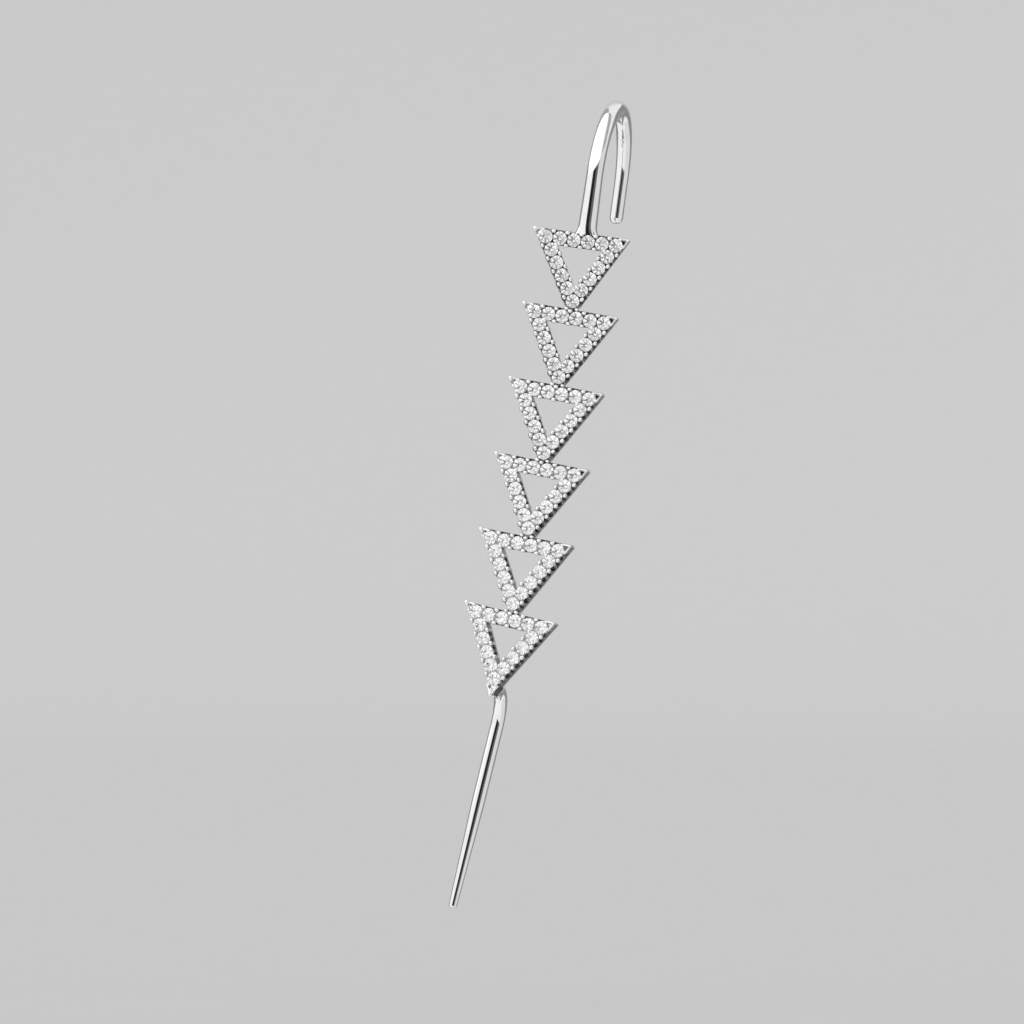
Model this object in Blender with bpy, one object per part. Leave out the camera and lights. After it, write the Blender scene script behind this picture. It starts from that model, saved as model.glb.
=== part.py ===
"""Ear pin: a hooked wire, six open stone-set triangles in a row and a straight pin, soldered in one line.

The frame is one soldered solid: the hook wire, the back rail of every triangle, and the pin.
In front of each rail stands that triangle's field of stones, with the seat and the claws that hold them.
+Z is up, -Y is the front and +X is the right-hand side seen from the front.
The origin is the top of the hook's hollow, the point that the piece hangs by.
"""

import math

import bmesh
import bpy
from mathutils import Matrix, Vector

MM = 0.001

# One open triangle, point down, measured over its outer edges
TRIANGLE_WIDTH = 8.60 * MM
TRIANGLE_HEIGHT = 7.65 * MM
BAR_WIDTH = 1.44 * MM
CORNER_RADIUS = 0.16 * MM
CORNER_STEPS = 3

# The row: each point laps over the top bar of the triangle below it. Angles are in degrees
TIP_LAP = 0.95 * MM
ROW = (
    {"turn": 7.8, "twist": 4.0},
    {"turn": 9.9, "twist": 7.5},
    {"turn": 10.5, "twist": 11.0},
    {"turn": 11.3, "twist": 13.0},
    {"turn": 11.1, "twist": 15.5},
    {"turn": 13.8, "twist": 18.0},
)

# Depths, from the back of the rail to the tables of the stones
RAIL_DEPTH = 0.50 * MM
LAYER_GAP = 0.06 * MM
CLAW_LEG_DEPTH = 0.78 * MM
SEAT_LIFT = 0.12 * MM
GIRDLE_DEPTH = 0.12 * MM
CROWN_DEPTH = 0.28 * MM
CLAW_RISE = 0.22 * MM
STONE_SINK = 0.10 * MM

# Stones and what holds them
STONE_DIAMETER = 1.12 * MM
TABLE_SHARE = 0.58
STONES_PER_SIDE = 6
STONE_FACETS = 8
CLAW_DIAMETER = 0.46 * MM
CLAW_PROUD = 0.04 * MM
CLAW_TIP_SHARE = 0.65
CLAW_SIDES = 6
SEAT_INSET = 0.20 * MM
CORNER_BLOCK = 0.80 * MM
CORNER_BLOCK_INSET = 0.03 * MM
FIELD_CLEARANCE = 0.12 * MM

# Hook: a straight leg, an arch and a plain back leg with a rounded end
HOOK_FOOT_WIRE = 1.64 * MM
HOOK_WIRE = 1.48 * MM
HOOK_END_WIRE = 1.20 * MM
HOOK_LEG = 4.90 * MM
HOOK_GAP = 6.60 * MM
ARCH_HEIGHT = 6.27 * MM
HOOK_BACK_LEG = 3.60 * MM
HOOK_TWIST = 17.5
HOOK_SET_FORWARD = 0.66 * MM
HOOK_SET_ASIDE = 0.37 * MM
HOOK_LAP = 1.00 * MM
HOOK_SIDES = 16
ARCH_STEPS = 20
END_STEPS = 3
END_SWEEP = 75.0

# Pin: out of the back of the last point, down in a bend and straight to a blunt end
PIN_WIRE = 1.18 * MM
PIN_TIP_WIRE = 0.75 * MM
PIN_TIP_CHAMFER = 0.12 * MM
PIN_SET_BACK = 2.60 * MM
PIN_DROP = 3.20 * MM
PIN_STUB = 0.30 * MM
PIN_BELOW_TRIANGLE = 18.60 * MM
PIN_TAPER = 9.50 * MM
PIN_SEAT = 0.80 * MM
PIN_SIDES = 12
BEND_STEPS = 8

STONE_RADIUS = STONE_DIAMETER / 2
CLAW_RADIUS = CLAW_DIAMETER / 2
ROW_STEP = TRIANGLE_HEIGHT - TIP_LAP
POINT_HALF_ANGLE = math.atan2(TRIANGLE_WIDTH / 2, TRIANGLE_HEIGHT)
CORNER_HALF_ANGLE = (math.pi / 2 - POINT_HALF_ANGLE) / 2
CLAW_FOOT = RAIL_DEPTH + LAYER_GAP
SEAT_BACK = CLAW_FOOT + SEAT_LIFT
SEAT_FRONT = CLAW_FOOT + CLAW_LEG_DEPTH
GIRDLE_FRONT = SEAT_FRONT + GIRDLE_DEPTH
TABLE_FRONT = GIRDLE_FRONT + CROWN_DEPTH
CLAW_FRONT = GIRDLE_FRONT + CLAW_RISE


def clear_scene():
    for obj in list(bpy.data.objects):
        bpy.data.objects.remove(obj)


def finish(name, colour, roughness, metallic):
    """A plain Principled material."""
    material = bpy.data.materials.new(name)
    material.use_nodes = True
    shader = material.node_tree.nodes["Principled BSDF"]
    shader.inputs["Base Color"].default_value = (*colour, 1.0)
    shader.inputs["Roughness"].default_value = roughness
    shader.inputs["Metallic"].default_value = metallic
    return material


def placed(name, mesh, material, place):
    """An object that shows the mesh at a place given as a matrix."""
    obj = bpy.data.objects.new(name, mesh)
    bpy.context.scene.collection.objects.link(obj)
    obj.matrix_world = place
    if material.name not in mesh.materials:
        mesh.materials.append(material)
    return obj


def helper(name, mesh, material, place):
    """An object that only shapes another one."""
    obj = placed(name, mesh, material, place)
    obj.hide_render = True
    obj.display_type = "WIRE"
    return obj


def combine(obj, other, operation):
    modifier = obj.modifiers.new(f"{operation.lower()} {other.name}", "BOOLEAN")
    modifier.operation = operation
    modifier.solver = "EXACT"
    modifier.object = other


def mesh_from(bm, name):
    bmesh.ops.recalc_face_normals(bm, faces=bm.faces)
    mesh = bpy.data.meshes.new(name)
    bm.to_mesh(mesh)
    bm.free()
    return mesh


# Outlines of a triangle, as points (across, up) from the middle of its top edge


def corners(inset):
    """Left, right and bottom corner of the triangle, moved in from its edges."""
    across = TRIANGLE_WIDTH / 2 - inset / math.tan(CORNER_HALF_ANGLE)
    point = -TRIANGLE_HEIGHT + inset / math.sin(POINT_HALF_ANGLE)
    return [Vector((-across, -inset)), Vector((across, -inset)), Vector((0, point))]


def rounded(outline, radius, steps):
    """The outline with each corner turned into an arc of that radius."""
    points = []
    for i, corner in enumerate(outline):
        before = (outline[i - 1] - corner).normalized()
        after = (outline[(i + 1) % len(outline)] - corner).normalized()
        half = before.angle(after) / 2
        centre = corner + (before + after).normalized() * radius / math.sin(half)
        start = corner + before * radius / math.tan(half) - centre
        end = corner + after * radius / math.tan(half) - centre
        sweep = start.angle_signed(end)
        for step in range(steps + 1):
            turned = start.copy()
            turned.rotate(Matrix.Rotation(-sweep * step / steps, 2))
            points.append(centre + turned)
    return points


def cut_short(inset, depth_below_top):
    """The triangle's outline moved in by inset, with its point cut off level."""
    left, right, point = corners(inset)
    half = (-depth_below_top - point.y) * math.tan(POINT_HALF_ANGLE)
    return [
        left,
        right,
        Vector((half, -depth_below_top)),
        Vector((-half, -depth_below_top)),
    ]


def add_plate(bm, loops, back, front):
    """A flat plate between two depths, with the first loop as its edge and the others as holes."""
    edges = []
    for loop in loops:
        verts = [bm.verts.new((p.x, -back, p.y)) for p in loop]
        edges += [bm.edges.new((a, b)) for a, b in zip(verts, verts[1:] + verts[:1])]
    filled = bmesh.ops.triangle_fill(bm, edges=edges, use_beauty=True)
    faces = [f for f in filled["geom"] if isinstance(f, bmesh.types.BMFace)]
    risen = bmesh.ops.extrude_face_region(bm, geom=faces, use_keep_orig=True)
    moved = [v for v in risen["geom"] if isinstance(v, bmesh.types.BMVert)]
    bmesh.ops.translate(bm, verts=moved, vec=(0, back - front, 0))


# The field of stones of one triangle


def tip_stone_depth():
    """How far below the top edge the lowest stone lies, clear of the triangle below."""
    return ROW_STEP - FIELD_CLEARANCE - SEAT_INSET / 4 - STONE_RADIUS


def stone_sides():
    """Stone centres along the top bar, the right leg and the left leg, corner stones in both."""
    left, right, _ = corners(BAR_WIDTH / 2)
    point = Vector((0, -tip_stone_depth()))
    share = [k / (STONES_PER_SIDE - 1) for k in range(STONES_PER_SIDE)]
    return [
        [a.lerp(b, t) for t in share]
        for a, b in ((left, right), (right, point), (point, left))
    ]


def claw_places():
    """A claw on both edges at every gap, and one shared claw in each inner corner."""
    offset = BAR_WIDTH / 2 - CLAW_RADIUS + CLAW_PROUD
    places = list(corners(BAR_WIDTH - CLAW_RADIUS))
    for side in stone_sides():
        along = (side[-1] - side[0]).normalized()
        outward = Vector((-along.y, along.x))
        gaps = [(a + b) / 2 for a, b in zip(side, side[1:])]
        places += [gap + outward * offset for gap in gaps]
        places += [gap - outward * offset for gap in gaps[1:-1]]
    return places


def add_lathe_piece(bm, place, levels, sides):
    """A faceted round piece on a depth axis, from (depth, radius) levels, closed at both ends."""
    rings = []
    for depth, radius in levels:
        angles = [2 * math.pi * (k + 0.5) / sides for k in range(sides)]
        rings.append(
            [
                bm.verts.new(
                    (
                        place.x + radius * math.cos(a),
                        -depth,
                        place.y + radius * math.sin(a),
                    )
                )
                for a in angles
            ]
        )
    for low, high in zip(rings, rings[1:]):
        for k in range(sides):
            nxt = (k + 1) % sides
            bm.faces.new((low[k], low[nxt], high[nxt], high[k]))
    bm.faces.new(rings[0])
    bm.faces.new(rings[-1])


def stones_mesh():
    """Round stones with a table, a ring of crown facets and a girdle that sinks into the seat."""
    bm = bmesh.new()
    levels = (
        (SEAT_FRONT - STONE_SINK, STONE_RADIUS),
        (GIRDLE_FRONT, STONE_RADIUS),
        (TABLE_FRONT, STONE_RADIUS * TABLE_SHARE),
    )
    for side in stone_sides():
        for place in side[:-1]:
            add_lathe_piece(bm, place, levels, STONE_FACETS)
    return mesh_from(bm, "stones")


def claws_mesh():
    """Tapered claws that stand on the rail and reach over the edges of the stones."""
    bm = bmesh.new()
    levels = ((CLAW_FOOT, CLAW_RADIUS), (CLAW_FRONT, CLAW_RADIUS * CLAW_TIP_SHARE))
    for place in claw_places():
        add_lathe_piece(bm, place, levels, CLAW_SIDES)
    return mesh_from(bm, "claws")


def seat_mesh(last):
    """The narrow ring that the stones sit in. Only the last triangle keeps its point."""
    if last:
        edge = corners(SEAT_INSET)
    else:
        edge = cut_short(SEAT_INSET, ROW_STEP - FIELD_CLEARANCE)
    bm = bmesh.new()
    add_plate(bm, [edge, corners(BAR_WIDTH - SEAT_INSET)], SEAT_BACK, SEAT_FRONT)
    return mesh_from(bm, "seat")


def corner_blocks_mesh(last):
    """Pointed blocks that fill the free corners beyond the corner stones."""
    bm = bmesh.new()
    tips = corners(CORNER_BLOCK_INSET)
    for i, tip in enumerate(tips if last else tips[:2]):
        sides = [(tips[i - 1] - tip).normalized(), (tips[(i + 1) % 3] - tip).normalized()]
        block = [tip, tip + sides[0] * CORNER_BLOCK, tip + sides[1] * CORNER_BLOCK]
        add_plate(bm, [block], CLAW_FOOT + LAYER_GAP / 2, GIRDLE_FRONT)
    return mesh_from(bm, "corner blocks")


def field_mesh(name, last):
    """Seat, corner blocks, stones and claws of one triangle, fused."""
    whole = placed(name, seat_mesh(last), CRYSTAL, Matrix())
    tools = [
        helper(f"{name} {mesh.name}", mesh, CRYSTAL, Matrix())
        for mesh in (corner_blocks_mesh(last), stones_mesh(), claws_mesh())
    ]
    for tool in tools:
        combine(whole, tool, "UNION")
    graph = bpy.context.evaluated_depsgraph_get()
    fused = bpy.data.meshes.new_from_object(whole.evaluated_get(graph))
    for obj in [whole, *tools]:
        bpy.data.objects.remove(obj)
    fused.name = name
    return fused


# The soldered frame


def rail_mesh():
    """The open triangle at the back, which the row is soldered by."""
    bm = bmesh.new()
    edge = rounded(corners(0), CORNER_RADIUS, CORNER_STEPS)
    hole = rounded(corners(BAR_WIDTH), CORNER_RADIUS / 2, 1)
    add_plate(bm, [edge, hole], 0, RAIL_DEPTH)
    return mesh_from(bm, "rail")


def wire_mesh(name, path, sides):
    """A round wire along a path of (depth, height, diameter) points in one upright plane."""
    bm = bmesh.new()
    centres = [Vector((0, depth, height)) for depth, height, _ in path]
    rings = []
    for i, (centre, row) in enumerate(zip(centres, path)):
        ahead = centres[min(i + 1, len(path) - 1)] - centres[max(i - 1, 0)]
        across = Vector((1, 0, 0))
        up = ahead.normalized().cross(across)
        radius = row[2] / 2
        angles = [2 * math.pi * k / sides for k in range(sides)]
        rings.append(
            [
                bm.verts.new(centre + radius * (math.cos(a) * across + math.sin(a) * up))
                for a in angles
            ]
        )
    for low, high in zip(rings, rings[1:]):
        for k in range(sides):
            nxt = (k + 1) % sides
            bm.faces.new((low[k], low[nxt], high[nxt], high[k]))
    bm.faces.new(rings[0])
    bm.faces.new(rings[-1])
    return mesh_from(bm, name)


def hook_half_depth():
    """Half the distance between the centre lines of the hook's two legs."""
    return (HOOK_GAP + (HOOK_WIRE + HOOK_END_WIRE) / 2) / 2


def hook_path():
    """Up the leg, over the arch, down the back leg and round its end, from the lap on the first rail."""
    half = hook_half_depth()
    path = [(0, -HOOK_LAP, HOOK_FOOT_WIRE), (0, HOOK_LAP / 2, HOOK_FOOT_WIRE)]
    for step in range(ARCH_STEPS + 1):
        angle = math.pi * step / ARCH_STEPS
        rise = math.sin(angle)
        foot = HOOK_WIRE if angle < math.pi / 2 else HOOK_END_WIRE
        wire = foot + (HOOK_WIRE - foot) * rise
        path.append((half * (1 - math.cos(angle)), HOOK_LEG + ARCH_HEIGHT * rise, wire))
    bottom = HOOK_LEG - HOOK_BACK_LEG
    for step in range(END_STEPS + 1):
        angle = math.radians(END_SWEEP * step / END_STEPS)
        height = bottom + HOOK_END_WIRE / 2 * (1 - math.sin(angle))
        path.append((2 * half, height, HOOK_END_WIRE * math.cos(angle)))
    return path


def pin_path():
    """Back from the last point, down in a quarter bend, straight, then tapered to a blunt end."""
    height = -(TRIANGLE_HEIGHT - PIN_SEAT)
    start = RAIL_DEPTH - LAYER_GAP / 2
    path = [(-start, height, PIN_WIRE), (PIN_STUB, height, PIN_WIRE)]
    reach = PIN_SET_BACK - PIN_STUB
    for step in range(1, BEND_STEPS + 1):
        angle = math.pi / 2 * step / BEND_STEPS
        depth = PIN_STUB + reach * math.sin(angle)
        path.append((depth, height - PIN_DROP * (1 - math.cos(angle)), PIN_WIRE))
    end = -(TRIANGLE_HEIGHT + PIN_BELOW_TRIANGLE)
    tip = PIN_TIP_WIRE
    path.append((PIN_SET_BACK, end + PIN_TAPER, PIN_WIRE))
    path.append((PIN_SET_BACK, end + PIN_TIP_CHAMFER, tip))
    path.append((PIN_SET_BACK, end, tip - 2 * PIN_TIP_CHAMFER))
    return path


def turned(turn, twist):
    """Turned in its own plane, after a twist about its long axis."""
    lean = Matrix.Rotation(math.radians(turn), 4, "Y")
    return lean @ Matrix.Rotation(math.radians(-twist), 4, "Z")


def hook_place():
    """The hook with the top of its hollow at the origin."""
    rotation = turned(ROW[0]["turn"], HOOK_TWIST)
    saddle = HOOK_LEG + ARCH_HEIGHT - HOOK_WIRE / 2
    return Matrix.Translation(-(rotation @ Vector((0, hook_half_depth(), saddle)))) @ rotation


def row_places():
    """A matrix for each triangle, each in line with the one above it. The hook stands aside of the middle."""
    rotation = turned(**ROW[0])
    start = hook_place().translation + rotation @ Vector((-HOOK_SET_ASIDE, HOOK_SET_FORWARD, 0))
    places = []
    for row in ROW:
        rotation = turned(**row)
        places.append(Matrix.Translation(start) @ rotation)
        start = start + rotation @ Vector((0, 0, -ROW_STEP))
    return places


def lap_cutter_mesh():
    """Takes the front of the hook wire away where it laps on the rail, clear of the claws."""
    bm = bmesh.new()
    reach = 2 * HOOK_FOOT_WIRE
    span = [Vector((-reach, -reach)), Vector((reach, -reach))]
    span += [Vector((reach, FIELD_CLEARANCE)), Vector((-reach, FIELD_CLEARANCE))]
    back = RAIL_DEPTH - LAYER_GAP / 2
    add_plate(bm, [span], back, back + reach)
    return mesh_from(bm, "lap cutter")


def make_frame(places):
    """Hook wire, rails and pin, soldered into one solid."""
    hook = wire_mesh("hook wire", hook_path(), HOOK_SIDES)
    frame = placed("soldered_frame", hook, SILVER, hook_place())
    cutter = helper("lap cutter", lap_cutter_mesh(), SILVER, places[0])
    combine(frame, cutter, "DIFFERENCE")
    rail = rail_mesh()
    for i, place in enumerate(places):
        combine(frame, helper(f"rail {i + 1}", rail, SILVER, place), "UNION")
    pin = wire_mesh("pin wire", pin_path(), PIN_SIDES)
    combine(frame, helper("pin", pin, SILVER, places[-1]), "UNION")
    frame.data.shade_smooth()
    frame.data.set_sharp_from_angle(angle=math.radians(35))


def make_fields(places):
    """The stone fields: the row shares one mesh, and the last has its own with a pointed tip."""
    middle = field_mesh("stone field", False)
    for i, place in enumerate(places[:-1]):
        placed(f"stone_field_{i + 1}", middle, CRYSTAL, place)
    last = field_mesh("last stone field", True)
    placed(f"stone_field_{len(places)}", last, CRYSTAL, places[-1])


clear_scene()
SILVER = finish("bright silver", (0.80, 0.80, 0.81), 0.12, 1.0)
CRYSTAL = finish("clear stones", (0.90, 0.91, 0.93), 0.08, 0.0)
make_frame(row_places())
make_fields(row_places())
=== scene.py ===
import math
import random

import bmesh
import bpy
from mathutils import Matrix, Vector


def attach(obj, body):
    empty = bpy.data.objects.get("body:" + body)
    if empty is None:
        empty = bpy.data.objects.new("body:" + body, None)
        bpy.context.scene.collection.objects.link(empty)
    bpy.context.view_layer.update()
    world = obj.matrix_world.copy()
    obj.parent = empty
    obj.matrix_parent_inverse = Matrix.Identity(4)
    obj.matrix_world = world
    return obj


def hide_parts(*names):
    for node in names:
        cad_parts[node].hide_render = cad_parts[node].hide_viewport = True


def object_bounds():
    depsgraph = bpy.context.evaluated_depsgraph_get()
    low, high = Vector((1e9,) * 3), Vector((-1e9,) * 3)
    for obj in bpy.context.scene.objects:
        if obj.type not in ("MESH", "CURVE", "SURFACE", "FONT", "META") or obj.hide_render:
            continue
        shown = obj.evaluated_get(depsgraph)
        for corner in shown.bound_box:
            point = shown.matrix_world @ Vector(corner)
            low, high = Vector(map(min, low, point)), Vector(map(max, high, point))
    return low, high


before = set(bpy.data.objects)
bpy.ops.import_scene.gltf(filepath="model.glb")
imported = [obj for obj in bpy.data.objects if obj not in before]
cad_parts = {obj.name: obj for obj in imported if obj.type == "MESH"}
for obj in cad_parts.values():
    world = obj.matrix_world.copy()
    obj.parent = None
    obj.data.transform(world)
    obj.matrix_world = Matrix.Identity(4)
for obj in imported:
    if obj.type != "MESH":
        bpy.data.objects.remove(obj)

CAD_LOW, CAD_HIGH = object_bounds()
MM = 0.001

# Sizes of one triangle and of the row, as in the solids
TRIANGLE_WIDTH = 8.60 * MM
TRIANGLE_HEIGHT = 7.65 * MM
BAR_WIDTH = 1.44 * MM
TIP_LAP = 0.95 * MM
ROW_STEP = TRIANGLE_HEIGHT - TIP_LAP
ROW = (
    {"turn": 7.8, "twist": 4.0},
    {"turn": 9.9, "twist": 7.5},
    {"turn": 10.5, "twist": 11.0},
    {"turn": 11.3, "twist": 13.0},
    {"turn": 11.1, "twist": 15.5},
    {"turn": 13.8, "twist": 18.0},
)
POINT_HALF_ANGLE = math.atan2(TRIANGLE_WIDTH / 2, TRIANGLE_HEIGHT)
CORNER_HALF_ANGLE = (math.pi / 2 - POINT_HALF_ANGLE) / 2

# Depths from the back of the rail to the front
RAIL_DEPTH = 0.42 * MM
GALLERY_ROOT = 0.36 * MM
GALLERY_FRONT = 1.36 * MM
GIRDLE_LEVEL = 1.41 * MM
CLAW_SHOULDER = 1.44 * MM
RIM_FRONT = 1.50 * MM

# The rail, opened from behind under every stone
RAIL_INSET = 0.05 * MM
RAIL_BEVEL = 0.06 * MM
RAIL_END = ROW_STEP + TIP_LAP / 3
LIGHT_WELL_BACK = 0.43 * MM
LIGHT_WELL_FRONT = 0.30 * MM

# Cutters reach out of the metal by a little at each end
CUTTER_SIDES = 20
OVERCUT = 0.10 * MM

# The gallery, cut in a U beside every stone so that only posts stand between them
GALLERY_INSET = 0.05 * MM
GALLERY_END = ROW_STEP + 0.02 * MM
SEAT_BACK_SHARE = 0.60
SEAT_TAPER = 1.74
U_HALF_WIDTH = 0.46 * MM
U_LEVEL = RAIL_DEPTH + 0.06 * MM + U_HALF_WIDTH
U_START = 0.10 * MM
U_REACH = BAR_WIDTH / 2 + 0.15 * MM

# Round brilliants
STONE_DIAMETER = 1.18 * MM
STONE_RADIUS = STONE_DIAMETER / 2
STONES_PER_SIDE = 6
TIP_STONE_DEPTH = 5.99 * MM
GIRDLE_HALF = 0.014 * MM
TABLE_SHARE = 0.56
CROWN_ANGLE = 35.0
STAR_ANGLE = 21.0
UPPER_HALF_ANGLE = 41.0
PAVILION_ANGLE = 41.2
LOWER_HALF_ANGLE = 42.6
MAIN_FACETS = 8
GIRDLE_SHARE = 0.992
STONE_BLANK_SIDES = 32
STONE_TILT = 2.2

# Claws and the pointed rims of the corners
CLAW_RADIUS = 0.19 * MM
CLAW_LEG_RADIUS = 0.15 * MM
CLAW_SIDES = 12
CLAW_RINGS = 8
CLAW_CUT = 0.06 * MM
CLAW_NECK = 0.05 * MM
CLAW_ROOT = 0.05 * MM
CLAW_LONG = 1.18
CLAW_NARROW = 0.90
CLAW_OFFSET = BAR_WIDTH / 2 - 0.16 * MM
SMALL_CLAW = 0.82
CORNER_CLAW_SHIFT = 0.30 * MM
CLAW_UNEVEN = 0.06
LAP_CLAWS = (-0.46 * MM, 0.46 * MM)
LAP_CLAW_LEVEL = -ROW_STEP + 0.04 * MM
LAP_CLAW = 0.9
TIP_BEAD_REACH = 0.27 * MM
TIP_BEADS = (1.12, 0.70, 1.08)
RIM_REACH = 0.86 * MM
POINT_RIM_REACH = 1.06 * MM
RIM_INSET = 0.02 * MM
RIM_OVERLENGTH = 1.6
RIM_WALL = 0.155 * MM
RIM_ROOT = 0.10 * MM
RIM_BEVEL = 0.06 * MM
BLUNT = 0.12 * MM
POCKET_DEPTH = 0.30 * MM
POCKET_CLEARANCE = 0.04 * MM
POCKET_RISES = (0.15 * MM, 0.05 * MM, 0.15 * MM)

# The hook
HOOK_FOOT_WIRE = 1.64 * MM
HOOK_WIRE = 1.48 * MM
HOOK_END_WIRE = 1.20 * MM
HOOK_LEG = 4.90 * MM
HOOK_GAP = 6.60 * MM
ARCH_HEIGHT = 6.27 * MM
HOOK_BACK_LEG = 3.60 * MM
HOOK_TWIST = 17.5
HOOK_SET_FORWARD = 0.66 * MM
HOOK_SET_ASIDE = 0.37 * MM
HOOK_SINK = 0.10 * MM
SOLDER_FLARE = 0.34
SOLDER_FLATTENED = 0.93
SOLDER_HEIGHT = 1.00 * MM
SOLDER_RINGS = 8
SOLDER_CURVE = 2.4
HOOK_SIDES = 48
HOOK_LEG_RINGS = 6
ARCH_RINGS = 60
HOOK_END_RINGS = 8
HOOK_END_SWEEP = 85

# The pin
PIN_WIRE = 1.18 * MM
PIN_TIP_WIRE = 0.75 * MM
PIN_TIP_CHAMFER = 0.12 * MM
PIN_SET_BACK = 2.60 * MM
PIN_DROP = 3.20 * MM
PIN_STUB = 0.30 * MM
PIN_BELOW_TRIANGLE = 18.60 * MM
PIN_TAPER = 9.50 * MM
PIN_SEAT = 0.80 * MM
PIN_SIDES = 40
PIN_BEND_RINGS = 24
PIN_ROOT = (
    {"depth": -RAIL_DEPTH / 2, "width": 1.12},
    {"depth": 0.02 * MM, "width": 1.10},
    {"depth": 0.12 * MM, "width": 1.02},
    {"depth": PIN_STUB, "width": 1.00},
)
PIN_TIP = (
    {"chamfers_up": 1.4, "chamfers_off": 0.0},
    {"chamfers_up": 1.0, "chamfers_off": 0.0625},
    {"chamfers_up": 0.3, "chamfers_off": 1.4},
    {"chamfers_up": 0.0, "chamfers_off": 2.2},
)

# Finishes: where a cloudy mask starts and ends, the height of a wheel mark, and the stones
MASK_LOW = 0.3
MASK_HIGH = 0.7
FINE_MARK = 0.004 * MM
STONE_IOR = 2.15

# The cove that stands for floor and wall
COVE_RADIUS = 1.7
COVE_BEND = 0.5
COVE_HEIGHT = 2.0
COVE_SIDES = 96
COVE_STEPS = 12
COVE_EDGE = 1 * MM
FLOOR_DROP = 9 * MM

# Tones of the studio, as the metal mirrors them
OPEN_TONE = 0.90
LEFT_PANEL = 0.96
RIGHT_PANEL = 0.74
WALL_BEHIND = 0.62
FLOOR_BEHIND = 0.20
STRAIGHT_BEHIND = 0.50
FLANKS = 0.26
GREY_GAP = 0.13
BLACK_GAP = 0.015
TOP_LIGHT = 1.4
TOP_LEFT = 0.38
TOP_RIGHT = 0.40

# Light that has passed through a stone meets brighter gaps and dark stripes, for the sparkle
GREY_GAP_THROUGH_STONE = 0.75
BLACK_GAP_THROUGH_STONE = 0.52
STONE_GAIN = 0.08
STRIPE_LOSS = 0.64
STRIPES_ACROSS = 11.0
STRIPES_UP = 7.0
STRIPE_EDGE = (-0.9, -0.2)

# The camera stands where the photograph's did: 11.5 pixels to the millimetre at the stones
PICTURE_SIDE = 1024
PIXELS_PER_M = 11.5 / MM
ORIGIN_PIXEL = (616.5, 117.0)
CAMERA_DISTANCE = 1500 * MM
PICTURE_PLANE_Y = -2.5 * MM
SENSOR = 36.0
NEAREST = 0.01
FARTHEST = 20

# How near points are one point or on one level, and how square a face is to be picked
WELD = 0.0005 * MM
HAIR = 0.001 * MM
FACING = 0.99
CHANCE_SEED = 11


# Handling pieces, as one would by hand


def only(*objects):
    """Selects these objects and nothing else."""
    bpy.ops.object.select_all(action="DESELECT")
    for obj in objects:
        obj.select_set(True)
    bpy.context.view_layer.objects.active = objects[0]


def begin(name):
    """Names the primitive just added, settles its place and opens it with everything selected."""
    obj = bpy.context.object
    obj.name = name
    obj.data.name = name
    bpy.ops.object.transform_apply(location=True, rotation=True, scale=True)
    bpy.ops.object.mode_set(mode="EDIT")
    bpy.ops.mesh.select_all(action="SELECT")
    return obj


def end(obj, crease=35.0):
    """Welds the piece, turns its faces outwards and shades it."""
    bpy.ops.mesh.select_all(action="SELECT")
    bpy.ops.mesh.remove_doubles(threshold=WELD)
    bpy.ops.mesh.normals_make_consistent(inside=False)
    bpy.ops.object.mode_set(mode="OBJECT")
    shade(obj, crease)
    return obj


def shade(obj, crease):
    only(obj)
    bpy.ops.object.shade_smooth_by_angle(angle=math.radians(crease))


def pick(obj, kind, wanted):
    """Selects the faces, edges or corners of the open piece that pass a test."""
    bpy.ops.mesh.select_all(action="DESELECT")
    mesh = bmesh.from_edit_mesh(obj.data)
    for part in getattr(mesh, kind):
        if wanted(part):
            part.select_set(True)
    bmesh.update_edit_mesh(obj.data)


def push(vector):
    """Extrudes what is selected."""
    bpy.ops.mesh.extrude_region_move(TRANSFORM_OT_translate={"value": vector})


def turn(angle, axis, centre):
    """Turns what is selected by the right-hand rule."""
    bpy.ops.transform.rotate(value=-angle, orient_axis=axis, center_override=centre)


def swell(factor, centre):
    bpy.ops.transform.resize(value=(factor,) * 3, center_override=centre)


def copied(obj, name):
    only(obj)
    bpy.ops.object.duplicate(linked=False)
    twin = bpy.context.object
    twin.name = name
    twin.data.name = name
    return twin


def put(obj, place):
    """Moves a piece by a matrix and settles it there."""
    obj.matrix_world = place @ obj.matrix_world
    only(obj)
    bpy.ops.object.transform_apply(location=True, rotation=True, scale=True)
    return obj


def joined(name, objects):
    only(*objects)
    bpy.ops.object.join()
    whole = bpy.context.object
    whole.name = name
    whole.data.name = name
    return whole


def cut(obj, tool):
    """Takes the tool's shape out of a piece and throws the tool away."""
    only(obj)
    modifier = obj.modifiers.new("cut", "BOOLEAN")
    modifier.operation = "DIFFERENCE"
    modifier.object = tool
    bpy.ops.object.modifier_apply(modifier=modifier.name)
    bpy.data.objects.remove(tool)


def slice_off(point, normal):
    """Cuts the open piece with a plane and drops what lies beyond it."""
    bpy.ops.mesh.select_all(action="SELECT")
    bpy.ops.mesh.bisect(
        plane_co=point,
        plane_no=normal,
        use_fill=True,
        clear_outer=True,
        threshold=WELD,
    )


# Places in one triangle: across, back to front, and up from the middle of the top edge


def corners(inset):
    """Left, right and lower corner, moved in from the edges, as (across, up)."""
    across = TRIANGLE_WIDTH / 2 - inset / math.tan(CORNER_HALF_ANGLE)
    point = -TRIANGLE_HEIGHT + inset / math.sin(POINT_HALF_ANGLE)
    return [Vector((-across, -inset)), Vector((across, -inset)), Vector((0, point))]


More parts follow.
